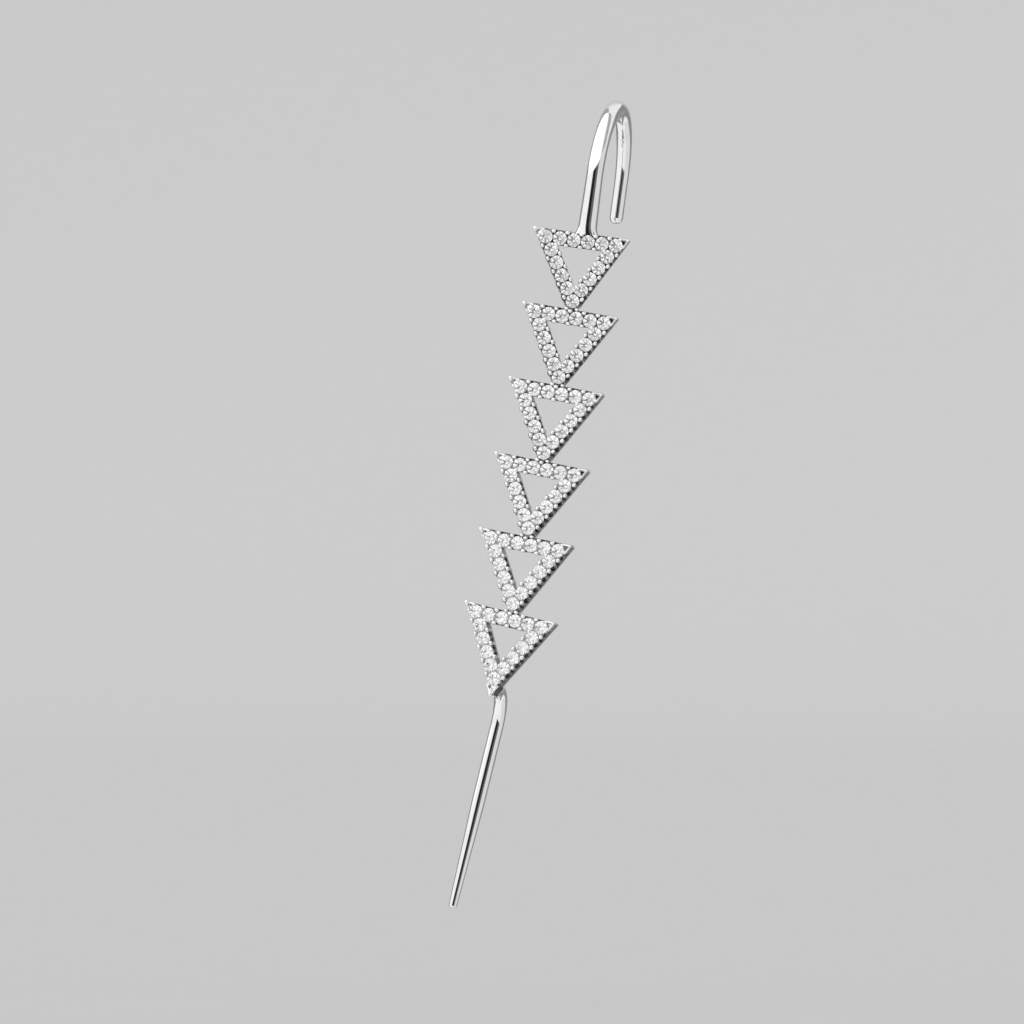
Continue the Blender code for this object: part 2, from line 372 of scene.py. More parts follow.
def stone_sides():
    """Stone centres along the top bar, the right leg and the left leg."""
    left, right, _ = corners(BAR_WIDTH / 2)
    point = Vector((0, -TIP_STONE_DEPTH))
    shares = [k / (STONES_PER_SIDE - 1) for k in range(STONES_PER_SIDE)]
    sides = ((left, right), (right, point), (point, left))
    return [[a.lerp(b, share) for share in shares] for a, b in sides]


def stone_spots():
    return [spot for side in stone_sides() for spot in side[:-1]]


def outward(side):
    along = (side[-1] - side[0]).normalized()
    return Vector((-along.y, along.x))


def at(spot, depth):
    """A point of the triangle's own frame."""
    return Vector((spot.x, -depth, spot.y))


def turned(angle, twist):
    """Turned in its own plane, after a twist about its long axis."""
    lean = Matrix.Rotation(math.radians(angle), 4, "Y")
    return lean @ Matrix.Rotation(math.radians(-twist), 4, "Z")


def hook_half_depth():
    return (HOOK_GAP + (HOOK_WIRE + HOOK_END_WIRE) / 2) / 2


def hook_place():
    """The hook with the top of its hollow at the origin."""
    rotation = turned(ROW[0]["turn"], HOOK_TWIST)
    saddle = Vector((0, hook_half_depth(), HOOK_LEG + ARCH_HEIGHT - HOOK_WIRE / 2))
    return Matrix.Translation(-(rotation @ saddle)) @ rotation


def row_places():
    """A matrix for each triangle, each in line with the one above it."""
    rotation = turned(ROW[0]["turn"], ROW[0]["twist"])
    aside = Vector((-HOOK_SET_ASIDE, HOOK_SET_FORWARD, 0))
    start = hook_place().translation + rotation @ aside
    places = []
    for row in ROW:
        rotation = turned(row["turn"], row["twist"])
        places.append(Matrix.Translation(start) @ rotation)
        start = start + rotation @ Vector((0, 0, -ROW_STEP))
    return places


# The metal of one triangle


def triangle_blank(name, inset, back):
    """A flat open triangle: a three-sided disc, drawn to size and sawn out."""
    radius = TRIANGLE_HEIGHT / 1.5
    bpy.ops.object.select_all(action="DESELECT")
    bpy.ops.mesh.primitive_circle_add(
        vertices=3,
        radius=radius,
        fill_type="NGON",
        location=(0, -back, -TRIANGLE_HEIGHT + radius),
        rotation=(math.pi / 2, math.pi, 0),
    )
    blank = begin(name)
    bpy.ops.transform.resize(
        value=(TRIANGLE_WIDTH / (radius * math.sqrt(3)), 1, 1),
        center_override=(0, 0, 0),
    )
    if inset:
        bpy.ops.mesh.inset(thickness=inset, use_even_offset=True)
        bpy.ops.mesh.select_all(action="INVERT")
        bpy.ops.mesh.delete(type="FACE")
        bpy.ops.mesh.select_all(action="SELECT")
    bpy.ops.mesh.inset(thickness=BAR_WIDTH - 2 * inset, use_even_offset=True)
    bpy.ops.mesh.delete(type="FACE")
    bpy.ops.mesh.select_all(action="SELECT")
    return blank


def round_cutter(name, centre, radius, length, heading=0.0, taper=1.0):
    """A round cutter. Tapered ones run from back to front, straight ones lie at a heading."""
    bpy.ops.object.select_all(action="DESELECT")
    bpy.ops.mesh.primitive_cone_add(
        vertices=CUTTER_SIDES,
        radius1=radius,
        radius2=radius * taper,
        depth=length,
        location=centre,
        rotation=(math.pi / 2, 0, 0) if taper != 1.0 else (0, heading, 0),
    )
    cutter = begin(name)
    bpy.ops.object.mode_set(mode="OBJECT")
    return cutter


def soften(obj, width, segments, crease):
    """Rounds the sharp edges of a piece."""
    modifier = obj.modifiers.new("soft edges", "BEVEL")
    modifier.width = width
    modifier.segments = segments
    modifier.limit_method = "ANGLE"
    only(obj)
    bpy.ops.object.modifier_apply(modifier=modifier.name)
    shade(obj, crease)


def blunt_corners(inset, whole):
    """Takes the sharp ends off the corners of the open piece."""
    tips = corners(inset)
    for i in range(3 if whole else 2):
        axis = inner_axis(tips, i)
        slice_off(at(tips[i] + axis * BLUNT, 0), (-axis.x, 0, -axis.y))


def cut_rail(whole):
    """The back rail, with softened edges. In the row its point ends at the next top bar."""
    rail = triangle_blank("rail", RAIL_INSET, 0)
    push((0, -RAIL_DEPTH, 0))
    if not whole:
        slice_off((0, 0, -RAIL_END), (0, 0, -1))
    blunt_corners(RAIL_INSET, whole)
    end(rail)
    soften(rail, RAIL_BEVEL, segments=3, crease=50)
    length = RAIL_DEPTH + 2 * OVERCUT
    taper = LIGHT_WELL_FRONT / LIGHT_WELL_BACK
    wells = []
    for spot in stone_spots():
        centre = at(spot, RAIL_DEPTH / 2)
        wells.append(round_cutter("well", centre, LIGHT_WELL_BACK, length, taper=taper))
    cut(rail, joined("wells", wells))
    shade(rail, crease=40)
    return rail


def seat_tool():
    """Cone-shaped burs, one under every stone."""
    back, front = RAIL_DEPTH - OVERCUT, GALLERY_FRONT + OVERCUT
    radius = STONE_RADIUS * SEAT_BACK_SHARE
    burs = []
    for spot in stone_spots():
        centre = at(spot, (back + front) / 2)
        burs.append(round_cutter("bur", centre, radius, front - back, taper=SEAT_TAPER))
    return joined("burs", burs)


def u_tool(side):
    """U-shaped cutters through the wall of one bar, from both its sides, open in front."""
    away = outward(side)
    heading = math.atan2(away.x, away.y)
    near_corners = (0, 1, len(side) - 2, len(side) - 1)
    cutters = []
    for k, spot in enumerate(side):
        ways = [away] if k in near_corners else [away, -away]
        for way in ways:
            middle = at(spot + way * (U_REACH + U_START) / 2, U_LEVEL)
            cutter = round_cutter("u cutter", middle, U_HALF_WIDTH, U_REACH - U_START, heading)
            only(cutter)
            bpy.ops.object.mode_set(mode="EDIT")
            bpy.ops.mesh.select_mode(type="VERT")
            pick(cutter, "verts", lambda vert: vert.co.y < -U_LEVEL - HAIR)
            bpy.ops.transform.translate(value=(0, U_LEVEL - GALLERY_FRONT - OVERCUT, 0))
            bpy.ops.mesh.select_mode(type="FACE")
            bpy.ops.object.mode_set(mode="OBJECT")
            cutters.append(cutter)
    return joined("u cutters", cutters)


def pocket_tool(whole):
    """Clears the gallery under the pointed rims of the corners."""
    tips = corners(RIM_WALL / 2 + GALLERY_INSET)
    back = GALLERY_FRONT - POCKET_DEPTH - POCKET_CLEARANCE
    pockets = [
        corner_prism("pocket", tips, i, rim_reach(i), back) for i in range(3 if whole else 2)
    ]
    return joined("pockets", pockets)


def rim_reach(i):
    """How far a rim runs from its tip to its stone. The lower point is the longest."""
    return POINT_RIM_REACH if i == 2 else RIM_REACH


def inner_axis(tips, i):
    """The way from one corner towards the middle of the triangle."""
    sides = [(tips[i - 1] - tips[i]).normalized(), (tips[(i + 1) % 3] - tips[i]).normalized()]
    return (sides[0] + sides[1]).normalized()


def corner_prism(name, tips, i, length, back):
    """A pointed prism in one corner, from a depth to well in front."""
    tip = tips[i]
    sides = [(tips[i - 1] - tip).normalized(), (tips[(i + 1) % 3] - tip).normalized()]
    bpy.ops.object.select_all(action="DESELECT")
    bpy.ops.mesh.primitive_circle_add(vertices=3, radius=length, fill_type="NGON")
    prism = begin(name)
    mesh = bmesh.from_edit_mesh(prism.data)
    spots = [tip, tip + sides[0] * length, tip + sides[1] * length]
    for vert, spot in zip(mesh.verts, spots):
        vert.co = at(spot, back)
    bmesh.update_edit_mesh(prism.data)
    push((0, -(GALLERY_FRONT - back + 2 * OVERCUT), 0))
    return end(prism)


def saw_gallery(whole):
    """The wall of one triangle: bored for the stones and cut away beside each of them."""
    gallery = triangle_blank("gallery", GALLERY_INSET, GALLERY_ROOT)
    push((0, GALLERY_ROOT - GALLERY_FRONT, 0))
    if not whole:
        slice_off((0, 0, -GALLERY_END), (0, 0, -1))
    blunt_corners(GALLERY_INSET, whole)
    end(gallery)
    cut(gallery, seat_tool())
    for side in stone_sides():
        cut(gallery, u_tool(side))
    cut(gallery, pocket_tool(whole))
    shade(gallery, crease=30)
    return gallery


def draw_claw():
    """One claw: a round bead on a thinner leg."""
    bpy.ops.object.select_all(action="DESELECT")
    bpy.ops.mesh.primitive_uv_sphere_add(
        segments=CLAW_SIDES,
        ring_count=CLAW_RINGS,
        radius=CLAW_RADIUS,
        location=(0, -CLAW_SHOULDER, 0),
        rotation=(math.pi / 2, 0, 0),
    )
    claw = begin("claw")
    slice_off((0, -CLAW_SHOULDER + CLAW_CUT, 0), (0, 1, 0))
    pick(claw, "faces", lambda face: face.normal.y > FACING)
    push((0, CLAW_NECK, 0))
    thinner = CLAW_LEG_RADIUS / CLAW_RADIUS
    bpy.ops.transform.resize(value=(thinner, 1, thinner), center_override=(0, 0, 0))
    push((0, CLAW_SHOULDER - CLAW_CUT - CLAW_NECK - RAIL_DEPTH + CLAW_ROOT, 0))
    return end(claw, crease=50)


def claw_spots(whole):
    """(place, way along the edge, size) of every claw."""
    spots = []
    inner = corners(BAR_WIDTH / 2 + CLAW_OFFSET)
    for side, spot in zip(stone_sides(), inner):
        away = outward(side)
        along = (side[-1] - side[0]).normalized()
        spots.append((spot, along, 1.0))
        gaps = [(a + b) / 2 for a, b in zip(side, side[1:])]
        spots += [(gap + away * CLAW_OFFSET, along, 1.0) for gap in gaps]
        spots += [(gap - away * CLAW_OFFSET, along, 1.0) for gap in gaps[1:-1]]
        for stone, shift in ((side[0], -CORNER_CLAW_SHIFT), (side[-1], CORNER_CLAW_SHIFT)):
            spot = stone + along * shift + away * CLAW_OFFSET
            if whole or spot.y > -ROW_STEP + TIP_LAP:
                spots.append((spot, along, SMALL_CLAW))
    tips = corners(0)
    for i in range(3 if whole else 2):
        axis = inner_axis(tips, i)
        spots.append((tips[i] + axis * TIP_BEAD_REACH, axis, TIP_BEADS[i]))
    if whole:
        axis = Vector((0, 1))
        spots.append((tips[2] + axis * (TIP_BEAD_REACH + 2 * CLAW_RADIUS), axis, SMALL_CLAW))
    else:
        level = Vector((1, 0))
        spots += [(Vector((x, LAP_CLAW_LEVEL)), level, LAP_CLAW) for x in LAP_CLAWS]
    return spots


def bend_rim(tips, i):
    """The raised rim of a corner: a pointed trough, open towards its stone, its floor sloped."""
    back = GALLERY_FRONT - POCKET_DEPTH - RIM_ROOT
    rim = corner_prism("rim", tips, i, rim_reach(i) * RIM_OVERLENGTH, back)
    only(rim)
    bpy.ops.object.mode_set(mode="EDIT")
    front = min(vert.co.y for vert in bmesh.from_edit_mesh(rim.data).verts)
    pick(rim, "faces", lambda face: face.normal.y < -FACING)
    bpy.ops.transform.translate(value=(0, -RIM_FRONT - front, 0))
    bpy.ops.mesh.inset(thickness=RIM_WALL, use_even_offset=True)
    push((0, RIM_FRONT - GALLERY_FRONT + POCKET_DEPTH, 0))
    axis = inner_axis(tips, i)
    floor = -GALLERY_FRONT + POCKET_DEPTH
    bpy.ops.mesh.select_mode(type="VERT")
    pick(
        rim,
        "verts",
        lambda vert: abs(vert.co.y - floor) < WELD
        and (vert.co.xz - tips[i]).dot(axis) > rim_reach(i),
    )
    bpy.ops.transform.translate(value=(0, -POCKET_RISES[i], 0))
    bpy.ops.mesh.select_mode(type="FACE")
    slice_off(at(tips[i] + axis * rim_reach(i), 0), (axis.x, 0, axis.y))
    slice_off(at(tips[i] + axis * BLUNT, 0), (-axis.x, 0, -axis.y))
    end(rim)
    soften(rim, RIM_BEVEL, segments=3, crease=50)
    return rim


def raise_claws(claw, whole, chance):
    """All claws and corner rims of one triangle, each claw a little unlike the next."""
    metal = []
    for spot, along, size in claw_spots(whole):
        uneven = size * (1 + chance.uniform(-CLAW_UNEVEN, CLAW_UNEVEN))
        stretch = Matrix.Diagonal((uneven * CLAW_LONG, 1, uneven * CLAW_NARROW, 1))
        heading = Matrix.Rotation(-math.atan2(along.y, along.x), 4, "Y")
        place = Matrix.Translation(at(spot, 0)) @ heading @ stretch
        metal.append(put(copied(claw, "claw"), place))
    tips = corners(RIM_INSET)
    metal += [bend_rim(tips, i) for i in range(3 if whole else 2)]
    return joined("claws", metal)


# Stones


def facets(count, first, angle, radius, level):
    """Cuts a ring of facets. Each plane passes at a radius and a level and slopes at an angle."""
    slope = math.radians(angle)
    for k in range(count):
        way = math.radians(first + 360 * k / count)
        across = Vector((math.cos(way), math.sin(way), 0))
        rise = 1 if level >= 0 else -1
        normal = across * math.sin(slope) + Vector((0, 0, rise * math.cos(slope)))
        slice_off(across * radius + Vector((0, 0, level)), normal)


def cut_brilliant():
    """One round brilliant, cut facet by facet from a round blank with its table up."""
    crown = GIRDLE_HALF + (1 - TABLE_SHARE) * STONE_RADIUS * math.tan(math.radians(CROWN_ANGLE))
    bpy.ops.object.select_all(action="DESELECT")
    bpy.ops.mesh.primitive_cylinder_add(
        vertices=STONE_BLANK_SIDES,
        radius=STONE_RADIUS,
        depth=2 * STONE_RADIUS,
        location=(0, 0, 0),
    )
    stone = begin("stone")
    slice_off((0, 0, crown), (0, 0, 1))
    half = 180 / MAIN_FACETS
    girdle = STONE_RADIUS * GIRDLE_SHARE
    facets(2 * MAIN_FACETS, half / 2, UPPER_HALF_ANGLE, girdle, GIRDLE_HALF)
    facets(MAIN_FACETS, 0, CROWN_ANGLE, STONE_RADIUS, GIRDLE_HALF)
    star = TABLE_SHARE * STONE_RADIUS * math.cos(math.radians(half))
    facets(MAIN_FACETS, half, STAR_ANGLE, star, crown)
    facets(2 * MAIN_FACETS, half / 2, LOWER_HALF_ANGLE, girdle, -GIRDLE_HALF)
    facets(MAIN_FACETS, 0, PAVILION_ANGLE, STONE_RADIUS, -GIRDLE_HALF)
    end(stone)
    bpy.ops.object.shade_flat()
    return stone


def set_stones(name, stone, chance):
    """The stones of one triangle, each turned its own way and a touch off level."""
    stones = []
    for spot in stone_spots():
        nod = Matrix.Rotation(math.radians(chance.uniform(-STONE_TILT, STONE_TILT)), 4, "X")
        lean = Matrix.Rotation(math.radians(chance.uniform(-STONE_TILT, STONE_TILT)), 4, "Y")
        spin = Matrix.Rotation(math.radians(chance.uniform(0, 360 / MAIN_FACETS)), 4, "Z")
        face = Matrix.Rotation(math.pi / 2, 4, "X")
        place = Matrix.Translation(at(spot, GIRDLE_LEVEL)) @ face @ nod @ lean @ spin
        stones.append(put(copied(stone, "stone"), place))
    return joined(name, stones)


# Wires


def draw_wire(name, path, sides):
    """A round wire, drawn ring by ring along (depth, height, diameter) stations."""
    centres = [Vector((0, depth, height)) for depth, height, _ in path]
    tilts = []
    for i in range(len(path)):
        ahead = centres[min(i + 1, len(path) - 1)] - centres[max(i - 1, 0)]
        tilts.append(math.atan2(-ahead.y, ahead.z))
    bpy.ops.object.select_all(action="DESELECT")
    bpy.ops.mesh.primitive_circle_add(
        vertices=sides,
        radius=path[0][2] / 2,
        fill_type="NGON",
        location=centres[0],
        rotation=(tilts[0], 0, 0),
    )
    wire = begin(name)
    for i in range(1, len(path)):
        push(centres[i] - centres[i - 1])
        bend = (tilts[i] - tilts[i - 1] + math.pi) % (2 * math.pi) - math.pi
        if abs(bend) > 1e-6:
            turn(bend, "X", centres[i])
        swell(path[i][2] / path[i - 1][2], centres[i])
    return end(wire, crease=40)


def hook_path():
    """From the solder up the leg, over the arch, down the back leg and round its end."""
    half = hook_half_depth()
    path = []
    for ring in range(SOLDER_RINGS + 1):
        path.append((0, solder_level(ring), HOOK_FOOT_WIRE))
    for step in range(1, HOOK_LEG_RINGS):
        share = step / HOOK_LEG_RINGS
        height = SOLDER_HEIGHT + (HOOK_LEG - SOLDER_HEIGHT) * share
        path.append((0, height, HOOK_FOOT_WIRE + (HOOK_WIRE - HOOK_FOOT_WIRE) * share))
    for step in range(ARCH_RINGS + 1):
        angle = math.pi * step / ARCH_RINGS
        rise = math.sin(angle)
        foot = HOOK_WIRE if angle < math.pi / 2 else HOOK_END_WIRE
        wire = foot + (HOOK_WIRE - foot) * rise
        path.append((half * (1 - math.cos(angle)), HOOK_LEG + ARCH_HEIGHT * rise, wire))
    bottom = HOOK_LEG - HOOK_BACK_LEG
    for step in range(HOOK_END_RINGS + 1):
        angle = math.radians(HOOK_END_SWEEP * step / HOOK_END_RINGS)
        height = bottom + HOOK_END_WIRE / 2 * (1 - math.sin(angle))
        path.append((2 * half, height, HOOK_END_WIRE * math.cos(angle)))
    return path


def solder_level(ring):
    """The height of one of the closer rings in the soldered foot."""
    return -HOOK_SINK + (HOOK_SINK + SOLDER_HEIGHT) * ring / SOLDER_RINGS


def draw_hook():
    """The hook wire. Solder widens its foot along the bar and leaves it flush with the stones."""
    hook = draw_wire("ear_hook", hook_path(), HOOK_SIDES)
    only(hook)
    bpy.ops.object.mode_set(mode="EDIT")
    bpy.ops.mesh.select_mode(type="VERT")
    for ring in range(SOLDER_RINGS):
        level = solder_level(ring)
        share = (1 - ring / SOLDER_RINGS) ** SOLDER_CURVE
        pick(hook, "verts", lambda vert: abs(vert.co.z - level) < 10 * HAIR)
        wider, flatter = 1 + SOLDER_FLARE * share, 1 - (1 - SOLDER_FLATTENED) * share
        bpy.ops.transform.resize(value=(wider, flatter, 1), center_override=(0, 0, 0))
    bpy.ops.mesh.select_mode(type="FACE")
    bpy.ops.object.mode_set(mode="OBJECT")
    shade(hook, crease=40)
    return hook


def pin_path():
    """Back from the last point, down in a bend, straight, then tapered to a blunt end."""
    height = -(TRIANGLE_HEIGHT - PIN_SEAT)
    path = [(ring["depth"], height, PIN_WIRE * ring["width"]) for ring in PIN_ROOT]
    reach = PIN_SET_BACK - PIN_STUB
    for step in range(1, PIN_BEND_RINGS + 1):
        angle = math.pi / 2 * step / PIN_BEND_RINGS
        depth = PIN_STUB + reach * math.sin(angle)
        path.append((depth, height - PIN_DROP * (1 - math.cos(angle)), PIN_WIRE))
    tip = -(TRIANGLE_HEIGHT + PIN_BELOW_TRIANGLE)
    path.append((PIN_SET_BACK, tip + PIN_TAPER, PIN_WIRE))
    for ring in PIN_TIP:
        level = tip + PIN_TIP_CHAMFER * ring["chamfers_up"]
        path.append((PIN_SET_BACK, level, PIN_TIP_WIRE - PIN_TIP_CHAMFER * ring["chamfers_off"]))
    return path


# Finishes


def new_group(name, inputs, outputs):
    """An empty shader node group with named number inputs and outputs."""
    group = bpy.data.node_groups.new(name, "ShaderNodeTree")
    for label, value in inputs:
        socket = group.interface.new_socket(label, in_out="INPUT", socket_type="NodeSocketFloat")
        socket.default_value = value
    for label, kind in outputs:
        group.interface.new_socket(label, in_out="OUTPUT", socket_type=kind)
    way_in = group.nodes.new("NodeGroupInput")
    way_out = group.nodes.new("NodeGroupOutput")
    return group, way_in, way_out


def polish_group():
    """Uneven polish: a cloudy mask and the height of very fine wheel marks."""
    group, way_in, way_out = new_group(
        "uneven polish",
        [("Cloud Scale", 900.0), ("Mark Scale", 5200.0)],
        [("Cloud", "NodeSocketFloat"), ("Marks", "NodeSocketFloat"), ("Tone", "NodeSocketFloat")],
    )
    nodes, links = group.nodes, group.links
    spot = nodes.new("ShaderNodeTexCoord")
    cloud = nodes.new("ShaderNodeTexNoise")
    cloud.inputs["Detail"].default_value = 3.0
    stretch = nodes.new("ShaderNodeMapping")
    stretch.inputs["Scale"].default_value = (1.0, 1.0, 0.06)
    marks = nodes.new("ShaderNodeTexNoise")
    marks.inputs["Detail"].default_value = 2.0
    links.new(spot.outputs["Object"], cloud.inputs["Vector"])
    links.new(way_in.outputs["Cloud Scale"], cloud.inputs["Scale"])
    links.new(spot.outputs["Object"], stretch.inputs["Vector"])
    links.new(stretch.outputs["Vector"], marks.inputs["Vector"])
    links.new(way_in.outputs["Mark Scale"], marks.inputs["Scale"])
    links.new(cloud.outputs["Fac"], way_out.inputs["Cloud"])
    links.new(marks.outputs["Fac"], way_out.inputs["Marks"])
    both = nodes.new("ShaderNodeMix")
    both.inputs["Factor"].default_value = 0.6
    links.new(cloud.outputs["Fac"], both.inputs["A"])
    links.new(marks.outputs["Fac"], both.inputs["B"])
    links.new(both.outputs["Result"], way_out.inputs["Tone"])
    return group


def ramp(nodes, links, value, low, high):
    """Turns a mask into a colour between two."""
    node = nodes.new("ShaderNodeValToRGB")
    node.color_ramp.elements[0].color = (*low, 1)
    node.color_ramp.elements[1].color = (*high, 1)
    node.color_ramp.elements[0].position = MASK_LOW
    node.color_ramp.elements[1].position = MASK_HIGH
    links.new(value, node.inputs["Fac"])
    return node.outputs["Color"]


def spread(nodes, links, value, low, high):
    """Turns a mask into a number between two."""
    node = nodes.new("ShaderNodeMapRange")
    node.inputs["From Min"].default_value = MASK_LOW
    node.inputs["From Max"].default_value = MASK_HIGH
    node.inputs["To Min"].default_value = low
    node.inputs["To Max"].default_value = high
    links.new(value, node.inputs["Value"])
    return node.outputs["Result"]


def silver(name, polish, dark, bright, smooth, rough, marks, waves):
    """Polished white metal: its tone, its gloss, its wheel marks and the height of its waves."""
    material = bpy.data.materials.new(name)
    material.use_nodes = True
    nodes, links = material.node_tree.nodes, material.node_tree.links
    shader = nodes["Principled BSDF"]
    shader.inputs["Metallic"].default_value = 1.0
    wear = nodes.new("ShaderNodeGroup")
    wear.node_tree = polish
    links.new(ramp(nodes, links, wear.outputs["Tone"], dark, bright), shader.inputs["Base Color"])
    gloss = spread(nodes, links, wear.outputs["Cloud"], smooth, rough)
    links.new(gloss, shader.inputs["Roughness"])
    swells = nodes.new("ShaderNodeBump")
    swells.inputs["Distance"].default_value = waves
    links.new(wear.outputs["Cloud"], swells.inputs["Height"])
    bump = nodes.new("ShaderNodeBump")
    bump.inputs["Strength"].default_value = marks
    bump.inputs["Distance"].default_value = FINE_MARK
    links.new(swells.outputs["Normal"], bump.inputs["Normal"])
    links.new(wear.outputs["Marks"], bump.inputs["Height"])
    links.new(bump.outputs["Normal"], shader.inputs["Normal"])
    return material


def clear_stone(polish):
    """White cut stone: clear, very bright, with hardly any haze."""
    material = bpy.data.materials.new("white cut stone")
    material.use_nodes = True
    nodes, links = material.node_tree.nodes, material.node_tree.links
    shader = nodes["Principled BSDF"]
    shader.inputs["Transmission Weight"].default_value = 1.0
    shader.inputs["IOR"].default_value = STONE_IOR
    wear = nodes.new("ShaderNodeGroup")
    wear.node_tree = polish
    tone = ramp(nodes, links, wear.outputs["Cloud"], (0.97, 0.975, 0.985), (1.0, 1.0, 1.0))
    links.new(tone, shader.inputs["Base Color"])
    gloss = spread(nodes, links, wear.outputs["Cloud"], 0.0, 0.02)
    links.new(gloss, shader.inputs["Roughness"])
    return material


def dress(obj, material, slot, *nodes):
    """Gives a piece its finish and its body and hides the solids it replaces; the slot it stands
    for is not used.
    """
    obj.data.materials.clear()
    obj.data.materials.append(material)
    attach(obj, "root")
    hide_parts(*nodes)


# The piece itself


def make_jewel():
    """Six triangles in a row, the hook above them and the pin below, each piece dressed."""
    polish = polish_group()
    wire_silver = silver(
        "drawn bright silver",
        polish,
        dark=(0.86, 0.86, 0.865),
        bright=(0.96, 0.96, 0.965),
        smooth=0.04,
        rough=0.09,
        marks=0.06,
        waves=0.001 * MM,
    )
    rail_silver = silver(
        "polished rail silver",
        polish,
        dark=(0.86, 0.86, 0.87),
        bright=(0.93, 0.93, 0.935),
        smooth=0.06,
        rough=0.14,
        marks=0.25,
        waves=0.04 * MM,
    )
    # The gallery's tone is painted dark: painted shade for the recessed wall and a painted dark
    # reflection, not the silver's own colour.
    shade_painted_gallery_silver = silver(
        "gallery silver with painted shade and reflection",
        polish,
        dark=(0.30, 0.30, 0.31),
        bright=(0.46, 0.46, 0.47),
        smooth=0.16,
        rough=0.30,
        marks=0.3,
        waves=0.03 * MM,
    )
    claw_silver = silver(
        "burnished claw silver",
        polish,
        dark=(0.91, 0.91, 0.915),
        bright=(0.96, 0.96, 0.965),
        smooth=0.05,
        rough=0.11,
        marks=0.1,
        waves=0.001 * MM,
    )
    stone_clear = clear_stone(polish)
    chance = random.Random(CHANCE_SEED)
    places = row_places()
    stone = cut_brilliant()
    claw = draw_claw()
    models = {whole: (cut_rail(whole), saw_gallery(whole)) for whole in (False, True)}
    rails = []
    for number, place in enumerate(places, 1):
        whole = number == len(places)
        rail, gallery = models[whole]
        field = f"stone_field_{number}"
        rails.append(put(copied(rail, "rail"), place))
        wall = put(copied(gallery, f"gallery_{number}"), place)
        dress(wall, shade_painted_gallery_silver, "polished_silver", field)
        grips = put(raise_claws(claw, whole, chance), place)
        grips.name = grips.data.name = f"claws_{number}"
        dress(grips, claw_silver, "polished_silver", field)
        gems = put(set_stones(f"stones_{number}", stone, chance), place)
        dress(gems, stone_clear, "clear_stones", field)
    for model in (stone, claw, *models[False], *models[True]):
        bpy.data.objects.remove(model)
    dress(joined("rails", rails), rail_silver, "polished_silver", "soldered_frame")
    hook = put(draw_hook(), hook_place())
    dress(hook, wire_silver, "polished_silver", "soldered_frame")
    pin = put(draw_wire("lobe_pin", pin_path(), PIN_SIDES), places[-1])
    dress(pin, wire_silver, "polished_silver", "soldered_frame")


# Floor, light and camera


def make_cove():
    """A pale round cove: floor and wall in one sweep, seen but not mirrored in the metal."""
    bpy.ops.object.select_all(action="DESELECT")
    bpy.ops.mesh.primitive_circle_add(
        vertices=COVE_SIDES,
        radius=COVE_RADIUS,
        fill_type="NGON",
        location=(0, 0, CAD_LOW.z - FLOOR_DROP),
    )
    cove = begin("cove")
    bpy.ops.mesh.inset(thickness=COVE_EDGE)
    bpy.ops.mesh.select_mode(type="EDGE")
    pick(cove, "edges", lambda edge: edge.is_boundary)
    radius = COVE_RADIUS
    for step in range(1, COVE_STEPS + 1):
        last = math.pi / 2 * (step - 1) / COVE_STEPS
        angle = math.pi / 2 * step / COVE_STEPS
        push((0, 0, COVE_BEND * (math.cos(last) - math.cos(angle))))
        wider = COVE_RADIUS + COVE_BEND * math.sin(angle)
        growth = wider / radius
        bpy.ops.transform.resize(value=(growth, growth, 1), center_override=(0, 0, 0))
        radius = wider
    push((0, 0, COVE_HEIGHT))
    bpy.ops.mesh.select_mode(type="FACE")
    bpy.ops.mesh.select_all(action="SELECT")
    bpy.ops.mesh.normals_make_consistent(inside=True)
    bpy.ops.object.mode_set(mode="OBJECT")
    shade(cove, crease=60)
    for ray in ("glossy", "transmission", "diffuse", "shadow"):
        setattr(cove, f"visible_{ray}", False)
    paper = bpy.data.materials.new("pale paper")
    paper.use_nodes = True
    nodes, links = paper.node_tree.nodes, paper.node_tree.links
    shader = nodes["Principled BSDF"]
    shader.inputs["Roughness"].default_value = 0.9
    shader.inputs["Specular IOR Level"].default_value = 0.1
    spot = nodes.new("ShaderNodeTexCoord")
    grain = nodes.new("ShaderNodeTexNoise")
    grain.inputs["Scale"].default_value = 300.0
    links.new(spot.outputs["Object"], grain.inputs["Vector"])
    tone = ramp(nodes, links, grain.outputs["Fac"], (0.597, 0.597, 0.597), (0.603, 0.603, 0.603))
    links.new(tone, shader.inputs["Base Color"])
    cove.data.materials.append(paper)


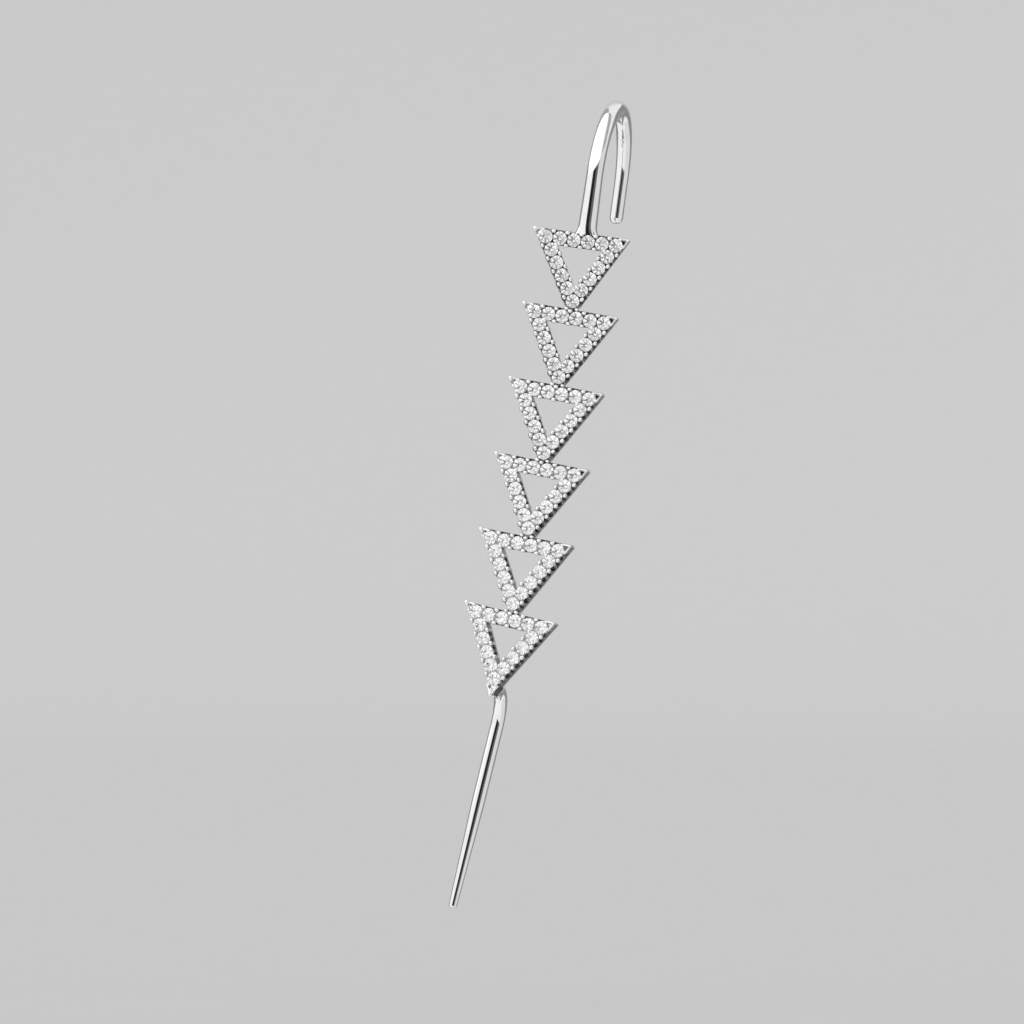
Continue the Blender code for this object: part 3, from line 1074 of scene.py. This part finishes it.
def make_light():
    """A soft studio round the piece: wide panels beside and above it, with dark gaps between."""
    world = bpy.data.worlds.new("studio")
    bpy.context.scene.world = world
    world.use_nodes = True
    nodes, links = world.node_tree.nodes, world.node_tree.links
    background = nodes["Background"]
    way = nodes.new("ShaderNodeTexCoord")
    split = nodes.new("ShaderNodeSeparateXYZ")
    links.new(way.outputs["Generated"], split.inputs["Vector"])

    def worked(operation, a, b=None):
        """One step of arithmetic on numbers or sockets."""
        node = nodes.new("ShaderNodeMath")
        node.operation = operation
        for socket, value in zip(node.inputs, (a, b)):
            if value is None:
                continue
            if isinstance(value, (int, float)):
                socket.default_value = value
            else:
                links.new(value, socket)
        return node.outputs[0]

    def step(value, low, high):
        """0 up to one number and 1 from another, with a soft step between."""
        node = nodes.new("ShaderNodeMapRange")
        node.interpolation_type = "SMOOTHSTEP"
        node.inputs["From Min"].default_value = low
        node.inputs["From Max"].default_value = high
        links.new(value, node.inputs["Value"])
        return node.outputs["Result"]

    def edge(value, at_degrees, soft):
        """A step at an angle, as many degrees soft to each side."""
        return step(value, math.radians(at_degrees - soft), math.radians(at_degrees + soft))

    def band(value, low, high, soft, soft_high=None):
        """1 between two angles, with one softness or one for each end."""
        return worked("SUBTRACT", edge(value, low, soft), edge(value, high, soft_high or soft))

    def both(mask, other):
        return worked("MULTIPLY", mask, other)

    def outside(mask):
        return worked("SUBTRACT", 1.0, mask)

    def through_stone(tone, gain):
        """A tone that is brighter for light that has passed through a stone."""
        return worked("ADD", tone, worked("MULTIPLY", passed_stone, gain))

    def lay(below, mask, tone):
        """Puts a tone over what is below it, where the mask is 1."""
        kept = worked("MULTIPLY", below, outside(mask))
        return worked("ADD", kept, worked("MULTIPLY", mask, tone))

    passed_stone = nodes.new("ShaderNodeLightPath").outputs["Is Transmission Ray"]
    towards_camera = worked("MULTIPLY", split.outputs["Y"], -1.0)
    side = worked("ARCTAN2", split.outputs["X"], towards_camera)
    height = worked("ARCSINE", split.outputs["Z"])

    level = band(height, -70, 12, 6, 1)
    tone = lay(OPEN_TONE, both(band(side, -118, -20, 2), level), LEFT_PANEL)
    tone = lay(tone, both(band(side, 30, 118, 4, 2), level), RIGHT_PANEL)

    behind = outside(band(side, -146, 146, 10))
    tone = lay(tone, both(behind, band(height, -90, 55, 20)), WALL_BEHIND)
    tone = lay(tone, both(behind, band(height, -90, 2, 30)), FLOOR_BEHIND)
    straight_behind = outside(band(side, -165, 165, 15))
    tone = lay(tone, both(straight_behind, band(height, -60, -4, 14)), STRAIGHT_BEHIND)
    flanks = worked("ADD", band(side, -150, -112, 5, 8), band(side, 106, 150, 10, 5))
    tone = lay(tone, both(flanks, band(height, -30, 24, 5)), FLANKS)

    camera_height = band(height, -16, 11, 2)
    grey_gap = through_stone(GREY_GAP, GREY_GAP_THROUGH_STONE)
    tone = lay(tone, both(band(side, -27, 35, 4), camera_height), grey_gap)
    black_gap = through_stone(BLACK_GAP, BLACK_GAP_THROUGH_STONE)
    tone = lay(tone, both(band(side, -22, 9, 3), camera_height), black_gap)

    above = band(height, 12, 86, 1.5)
    tone = lay(tone, both(band(side, -120, 42, 1.5, 22), above), TOP_LIGHT)
    tone = lay(tone, both(band(side, -152, -124, 4), above), TOP_LEFT)
    tone = lay(tone, both(band(side, 42, 77, 20, 6), above), TOP_RIGHT)

    across = worked("MULTIPLY", side, STRIPES_ACROSS)
    wave = worked("SINE", worked("ADD", across, worked("MULTIPLY", height, STRIPES_UP)))
    stripes = worked("MULTIPLY", outside(step(wave, *STRIPE_EDGE)), -STRIPE_LOSS)
    sparkle = worked("MULTIPLY", passed_stone, worked("ADD", STONE_GAIN, stripes))
    tone = worked("MULTIPLY", tone, worked("ADD", 1.0, sparkle))
    links.new(tone, background.inputs["Strength"])
    background.inputs["Color"].default_value = (1, 1, 1, 1)


def make_camera():
    """Straight on to the piece, framed as the photograph."""
    half = PICTURE_SIDE / 2
    across = (half - ORIGIN_PIXEL[0]) / PIXELS_PER_M
    up = (ORIGIN_PIXEL[1] - half) / PIXELS_PER_M
    lens = SENSOR * CAMERA_DISTANCE * PIXELS_PER_M / PICTURE_SIDE
    bpy.ops.object.select_all(action="DESELECT")
    bpy.ops.object.camera_add(
        location=(across, PICTURE_PLANE_Y - CAMERA_DISTANCE, up), rotation=(math.pi / 2, 0, 0)
    )
    camera = bpy.context.object
    camera.data.lens = lens
    camera.data.sensor_width = SENSOR
    camera.data.clip_start = NEAREST
    camera.data.clip_end = FARTHEST
    bpy.context.scene.camera = camera


make_jewel()
make_cove()
make_light()
make_camera()
bpy.context.scene.view_settings.view_transform = "Standard"
